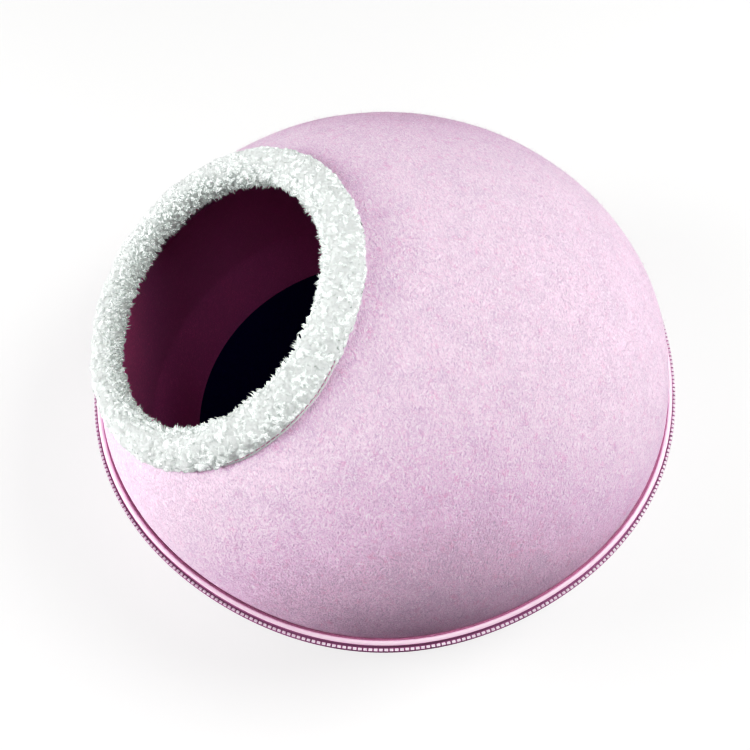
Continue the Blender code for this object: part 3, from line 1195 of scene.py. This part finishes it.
class PETBED_OT_fleece_trim(bpy.types.Operator):
    """Make the curly fleece strip that binds the entrance"""

    bl_idname = "pet_bed.fleece_trim"
    bl_label = "Fleece Trim"

    def execute(self, context):
        fleece = context.scene.pet_bed.fleece
        material = fleece_material()
        body = fleece_body(material)
        rng = np.random.default_rng(7)
        hem, line = hem_piece(material)
        pieces = [self.curls(fleece, material, rng), self.tufts(fleece, material, rng), hem]
        finish_piece(body, "white_fleece", "entrance_trim")
        for piece in pieces:
            finish_piece(piece, "white_fleece")
        ahead = unit(np.roll(line, -1, axis=0) - np.roll(line, 1, axis=0))[::HEM_STITCH_EVERY]
        places = line[::HEM_STITCH_EVERY]
        step = float(np.linalg.norm(places[1] - places[0]))
        seam = stitches(
            "hem_stitches", places, ahead, dome_slope(places)[1], step * 0.8,
            HEM_STITCH_WIDTH, thread_and_seam_shade(),
        )
        finish_piece(seam, "pink_tape")
        return {"FINISHED"}

    def curls(self, fleece, material, rng):
        """Tight nubby curls on the outer side and the top."""
        turns, angles, points, face = pile_places(rng, fleece.spacing, *CURL_ANGLES)
        free = (turns <= HEM_FROM) | (turns >= HEM_TO) | (angles >= HEM_FREE)
        turns, angles, points, face = turns[free], angles[free], points[free], face[free]
        count = len(points)
        flat = tangents(rng, face)
        starts = unit(face * rng.uniform(0.0, 0.2, (count, 1)) + flat)
        lengths = fleece.curl_length * rng.uniform(0.75, 1.2, count)
        radii = rng.uniform(0.95, 1.3, count) * MM
        bends = np.radians(rng.uniform(200, 330, count))
        pitch = rng.uniform(-0.12, 0.04, count)
        bases = points - face * (0.25 * MM + pile_sink(turns, angles))
        axes = face + rng.normal(size=face.shape) * 0.16
        made = locks(bases, starts, axes, lengths, radii, bends, pitch, CURL_SHAPE, 5)
        upper = np.full(len(made["points"]), True)
        made["points"] = clear_of_felt(made["points"], upper, PILE_CLEAR)
        tones_and_shade = rng.uniform(0.98, 1.02, count) * inner_shade(turns, angles)
        return lock_piece("fleece_curls", made, lengths, tones_and_shade, material)

    def tufts(self, fleece, material, rng):
        """Pointed tufts of several strands that lean into the opening."""
        def each(values):
            return np.repeat(values, TUFT_STRANDS, axis=0)

        turns, angles, points, face = pile_places(rng, fleece.spacing * 1.12, *TUFT_ANGLES)
        count = len(points)
        flat = tangents(rng, face)
        lead = unit(face + flat * rng.uniform(0.1, 0.75, (count, 1)))
        axis = unit(np.cross(lead, tangents(rng, face)) + 1e-6)
        long = fleece.tuft_length * rng.uniform(0.7, 1.15, count)
        bend = np.radians(rng.uniform(25, 120, count))
        thick = rng.uniform(0.75, 1.0, count) * MM
        total = count * TUFT_STRANDS
        spread_out = tangents(rng, each(lead))
        sink = pile_sink(turns, angles)
        bases = each(points - face * (0.6 * MM + sink)) + spread_out * TUFT_SPREAD
        starts = unit(each(lead) + spread_out * 0.12 + rng.normal(size=(total, 3)) * 0.06)
        axes = each(axis) + rng.normal(size=(total, 3)) * 0.15
        lengths = each(long) * rng.uniform(0.82, 1.1, total)
        bends = each(bend) * rng.uniform(0.8, 1.2, total)
        radii = each(thick)
        pitch = rng.uniform(-0.1, 0.1, total)
        made = locks(bases, starts, axes, lengths, radii, bends, pitch, TUFT_SHAPE, 4)
        upper = np.repeat(each(angles < math.pi), made["size"])
        made["points"] = clear_of_felt(made["points"], upper, PILE_CLEAR)
        tones_and_shade = each(rng.uniform(0.98, 1.02, count) * inner_shade(turns, angles))
        return lock_piece("fleece_tufts", made, lengths, tones_and_shade, material)


def tape_outline(side):
    """The rolled tape's section, as radius and height, and the material of each part."""
    corners = np.array(TAPE_CORNERS) * MM
    line = smooth_line(np.vstack([corners, corners[:1]]), TAPE_POINTS)[:-1]
    # The flap takes the flap colour, which is partly painted shade.
    flap = (line[:, 0] > FLAP_IN) & (line[:, 1] < FLAP_TOP)
    # The seam takes the thread colour: partly the seam's own colour, partly painted shade by the
    # felt's edge.
    seam = (line[:, 0] < SEAM_OUT) & (line[:, 1] > SEAM_LOW)
    deep = np.where(flap, 1, np.where(seam, 2, 0))
    line[:, 1] = ZIP_HEIGHT + side * line[:, 1]
    return (line, deep) if side < 0 else (line[::-1], deep[::-1])


def block(outline, depths, bevel):
    """An outline of width and height drawn out in depth, with bevelled edges."""
    outline = np.array(outline) * MM
    middle = outline.mean(axis=0)
    near, far = np.array(depths) * MM
    rows = []
    for depth, shrink in ((near, bevel), (near + bevel, 0), (far - bevel, 0), (far, bevel)):
        flat = outline + unit(middle - outline) * shrink
        rows.append(np.stack([flat[:, 0], np.full(len(flat), depth), flat[:, 1]], axis=1))
    quads, _, _ = grid(4, len(outline), False)
    k = np.arange(len(outline))
    return np.vstack(rows), quads, np.stack([k[::-1], k + 3 * len(outline)])


def zip_teeth(name, side, count, material):
    """A row of moulded teeth, whose heads grip between those of the other row."""
    half = TOOTH_DEPTH / MM / 2
    head = TOOTH_HEAD + [(-w, z) for w, z in TOOTH_HEAD[::-1]]
    turn = 2 * math.pi * (np.arange(count) + (0.25 if side > 0 else 0.75)) / count
    c, s = np.cos(turn)[:, None], np.sin(turn)[:, None]
    points, faces, start = [], [], 0
    for outline, depths in ((TOOTH_BODY, (-0.2, half)), (head, (-half + 0.2, 0.15))):
        tooth, quads, caps = block(outline, depths, TOOTH_BEVEL)
        if side > 0:
            quads, caps = quads[:, ::-1], caps[:, ::-1]
        x, y, z = tooth.T
        radius = ZIP_RADIUS + TOOTH_OUT + y
        placed = np.stack(
            [radius * c - x * s, radius * s + x * c, ZIP_HEIGHT + side * z + 0 * c], axis=-1
        ).reshape(-1, 3)
        shift = (start + np.arange(count) * len(tooth))[:, None, None]
        faces.append((quads[:, ::-1][None] + shift).reshape(-1, 4))
        faces.append((caps[:, ::-1][None] + shift).reshape(-1, len(outline)))
        points.append(placed)
        start += len(placed)
    piece = new_piece(name, rim_sway(np.vstack(points)), faces, [material])
    piece.data.set_sharp_from_angle(angle=TOOTH_EDGE)
    return piece


def stitches(name, middles, aheads, ups, length, width, material):
    """A row of sewn stitches: short threads that dip at both ends."""
    shape_at = np.linspace(-1, 1, 6)
    sides = 5
    around = round_turns(sides)
    across = np.cross(ups, aheads)
    rows = []
    for t in shape_at:
        rise = STITCH_RISE * (1 - 1.6 * t * t)
        centre = middles + aheads * (t * length / 2) + ups * rise
        thick = width / 2 * (0.75 if abs(t) == 1 else 1.0)
        rows.append(
            centre[:, None] + thick * (across[:, None] * np.cos(around)[:, None]
                                       + ups[:, None] * np.sin(around)[:, None])
        )
    points = np.stack(rows, axis=1).reshape(len(middles), -1, 3)
    quads, row, column = grid(len(shape_at), sides, False)
    k = np.arange(sides)
    caps = np.stack([k[::-1], k + (len(shape_at) - 1) * sides])
    shift = (np.arange(len(middles)) * points.shape[1])[:, None, None]
    faces = [(quads[:, ::-1][None] + shift).reshape(-1, 4),
             (caps[:, ::-1][None] + shift).reshape(-1, sides)]
    uv = np.stack([row / (len(shape_at) - 1) * length, column / sides * width * 3], axis=-1)
    uv = np.concatenate([np.tile(uv.reshape(-1, 2), (len(middles), 1)),
                         np.zeros((2 * len(middles) * sides, 2))])
    return new_piece(name, points.reshape(-1, 3), faces, [material], uv)


class PETBED_OT_zip(bpy.types.Operator):
    """Make the closed zip round the rim, with its tapes, teeth and sewing"""

    bl_idname = "pet_bed.zip"
    bl_label = "Zip"

    def execute(self, context):
        settings = context.scene.pet_bed.zip
        tape, tooth, thread = tape_material(), tooth_material(), thread_and_seam_shade()
        flap = flap_and_shade_material()
        count = round(2 * math.pi * DOME_RADIUS / settings.stitch)
        turn = round_turns(count)
        out = np.stack([np.cos(turn), np.sin(turn), 0 * turn], axis=1)
        ahead = np.stack([-np.sin(turn), np.cos(turn), 0 * turn], axis=1)
        for word, side in (("upper", 1), ("lower", -1)):
            outline, deep = tape_outline(side)
            band = ring(word + "_tape", outline, TAPE_STEPS, [tape, flap, thread], deep)
            finish_piece(band, "pink_tape", word + "_zip_tape")
            teeth = zip_teeth("teeth_" + word, side, settings.teeth, tooth)
            finish_piece(teeth, "zip_teeth", *(["zip_chain"] if side > 0 else []))
            height = ZIP_HEIGHT + side * STITCH_UP
            middles = rim_sway(out * STITCH_IN + np.array([0, 0, height]))
            up = np.tile([0.0, 0.0, side], (count, 1))
            row = stitches(
                word + "_stitches", middles, ahead, up, settings.stitch * STITCH_SHARE,
                STITCH_WIDTH, thread,
            )
            finish_piece(row, "pink_tape")
        return {"FINISHED"}


class PETBED_OT_loose_fibres(bpy.types.Operator):
    """Scatter single hairs over the felt's outer face"""

    bl_idname = "pet_bed.loose_fibres"
    bl_label = "Loose Fibres"

    def execute(self, context):
        felt = context.scene.pet_bed.felt
        rng = np.random.default_rng(21)
        tries = felt.loose_fibres * 2
        turn = rng.uniform(0, 2 * math.pi, tries)
        radius = DOME_RADIUS * np.sqrt(rng.uniform(0, 0.985, tries))
        points = np.stack(
            [radius * np.cos(turn), radius * np.sin(turn), dome_height(radius)], axis=1
        )
        points = points[oval_share(points, HAIR_CLEAR) > 1][: felt.loose_fibres]
        face = dome_slope(points)[1]
        count = len(points)
        flat = tangents(rng, face)
        starts = unit(flat + face * rng.uniform(0.05, 0.5, (count, 1)))
        axes = unit(np.cross(starts, face) + rng.normal(size=face.shape) * 0.8)
        lengths = rng.uniform(2.0, 5.5, count) * MM
        bends = np.radians(rng.uniform(20, 110, count))
        radii = rng.uniform(0.045, 0.085, count) * MM
        made = locks(points, starts, axes, lengths, radii, bends, 0 * bends, HAIR_SHAPE, 3)
        outside, out = dome_slope(made["points"])
        lift = np.maximum(HAIR_LIFT - outside, 0)
        made["points"] += out * lift[:, None]
        tones_and_shade = rng.uniform(0.9, 1.05, count)
        piece = lock_piece("loose_fibres", made, lengths, tones_and_shade, self.material(felt))
        finish_piece(piece, "pink_felt")
        return {"FINISHED"}

    def material(self, felt):
        material, tree, shader = new_material("pale felt hairs", 0.8, 0.2)
        tone = add(tree, "Attribute", attribute_name="tone").outputs["Fac"]
        shade = mix(tree, span(tree, tone, 0.9, 1.05), colour(felt.outside), colour(felt.hair))
        tree.links.new(shade, shader.inputs["Base Color"])
        return material


class PETBED_OT_stage(bpy.types.Operator):
    """Set up the pale floor, the soft lights and the camera"""

    bl_idname = "pet_bed.stage"
    bl_label = "Stage"

    def execute(self, context):
        stage = context.scene.pet_bed.stage
        scene = context.scene
        scene.view_settings.view_transform = "Standard"
        scene.view_settings.look = "None"
        self.floor(stage)
        self.sky(scene, stage)
        for name, turn, rise in LIGHTS:
            self.light(name, math.radians(turn), math.radians(rise), getattr(stage, name))
        self.tones_and_shade(scene, stage)
        self.camera(scene, stage)
        return {"FINISHED"}

    def floor(self, stage):
        bm = bmesh.new()
        bmesh.ops.create_grid(bm, x_segments=8, y_segments=8, size=FLOOR_HALF)
        mesh = bpy.data.meshes.new("studio_floor")
        bm.to_mesh(mesh)
        bm.free()
        floor = bpy.data.objects.new("studio_floor", mesh)
        floor.location.z = -FLOOR_DROP
        bpy.context.scene.collection.objects.link(floor)
        lift = {"Emission Strength": stage.floor_lift}
        material, tree, shader = new_material("pale floor", 0.85, **lift)
        cloud = speckle(tree, object_place(tree), 3.0, 3.0)
        shade = colour(np.array(stage.floor) * 0.985)
        seen = mix(tree, cloud, shade, colour(stage.floor))
        returned = colour(np.array(stage.floor) * stage.floor_return * RETURN_TINT)
        shown = add(tree, "LightPath").outputs["Is Camera Ray"]
        tree.links.new(mix(tree, shown, returned, seen), shader.inputs["Base Color"])
        glow = mix(tree, shown, (0, 0, 0, 1), (1, 1, 1, 1))
        tree.links.new(glow, shader.inputs["Emission Color"])
        mesh.materials.append(material)

    def sky(self, scene, stage):
        world = bpy.data.worlds.new("soft light")
        world.use_nodes = True
        tree = world.node_tree
        sky = tree.nodes["Background"]
        sky.inputs["Color"].default_value = (1, 1, 1, 1)
        shown = add(tree, "LightPath").outputs["Is Camera Ray"]
        strength = span(tree, shown, 0.0, 1.0, stage.sky, stage.backdrop)
        tree.links.new(strength, sky.inputs["Strength"])
        scene.world = world

    def light(self, name, turn, rise, power):
        """A soft square light that looks at the bed from a turn and a rise."""
        flat = math.cos(rise)
        away = Vector((flat * math.cos(turn), flat * math.sin(turn), math.sin(rise)))
        data = bpy.data.lights.new(name, "AREA")
        data.shape = "SQUARE"
        data.size = LIGHT_SIZE
        data.energy = power
        light = bpy.data.objects.new(name, data)
        light.location = LIGHT_AIM + away * LIGHT_DISTANCE
        light.rotation_euler = (-away).to_track_quat("-Z", "Y").to_euler()
        light.visible_camera = False
        bpy.context.scene.collection.objects.link(light)

    def tones_and_shade(self, scene, stage):
        """A picture curve that deepens the middle tones and leaves the bright ones."""
        view = scene.view_settings
        view.use_curve_mapping = True
        curve = view.curve_mapping.curves[3]
        foot = TONE_PIVOT * (TONE_FOOT / TONE_PIVOT) ** stage.contrast
        places = [(TONE_FOOT / 3, foot / 3), (TONE_FOOT, foot)]
        places += [(x, TONE_PIVOT * (x / TONE_PIVOT) ** stage.contrast) for x in TONE_STEPS]
        places += [(TONE_PIVOT, TONE_PIVOT), (TONE_TOP, TONE_TOP)]
        for x, y in places:
            curve.points.new(x, y)
        view.curve_mapping.update()

    def camera(self, scene, stage):
        data = bpy.data.cameras.new("photo_view")
        data.lens = stage.lens
        data.sensor_width = SENSOR_WIDTH
        camera = bpy.data.objects.new("photo_view", data)
        matrix = camera.matrix_world.copy()
        for i in range(3):
            matrix[i] = CAMERA_RIGHT[i], -CAMERA_DOWN[i], -CAMERA_AHEAD[i], CAMERA_PLACE[i]
        camera.matrix_world = matrix
        scene.collection.objects.link(camera)
        scene.camera = camera


class PETBED_PT_panel(bpy.types.Panel):
    bl_label = "Felt Pet Bed"
    bl_idname = "PETBED_PT_panel"
    bl_space_type = "VIEW_3D"
    bl_region_type = "UI"
    bl_category = "Pet Bed"

    def draw(self, context):
        settings = context.scene.pet_bed
        for label, group, operators in (
            ("Felt", settings.felt, (PETBED_OT_felt_shells, PETBED_OT_loose_fibres)),
            ("Fleece", settings.fleece, (PETBED_OT_fleece_trim,)),
            ("Zip", settings.zip, (PETBED_OT_zip,)),
            ("Disc", settings.disc, (PETBED_OT_floor_disc,)),
            ("Stage", settings.stage, (PETBED_OT_stage,)),
        ):
            box = self.layout.box()
            box.label(text=label)
            for key in group.__annotations__:
                box.prop(group, key)
            for operator in operators:
                box.operator(operator.bl_idname)


CLASSES = (
    FeltSettings,
    FleeceSettings,
    ZipSettings,
    DiscSettings,
    StageSettings,
    PetBedSettings,
    PETBED_OT_felt_shells,
    PETBED_OT_floor_disc,
    PETBED_OT_fleece_trim,
    PETBED_OT_zip,
    PETBED_OT_loose_fibres,
    PETBED_OT_stage,
    PETBED_PT_panel,
)


def register():
    for made in CLASSES:
        bpy.utils.register_class(made)
    bpy.types.Scene.pet_bed = PointerProperty(type=PetBedSettings)


def unregister():
    del bpy.types.Scene.pet_bed
    for made in reversed(CLASSES):
        bpy.utils.unregister_class(made)


def main():
    register()
    bpy.ops.pet_bed.felt_shells()
    bpy.ops.pet_bed.floor_disc()
    bpy.ops.pet_bed.fleece_trim()
    bpy.ops.pet_bed.zip()
    bpy.ops.pet_bed.loose_fibres()
    bpy.ops.pet_bed.stage()


if __name__ == "__main__":
    main()
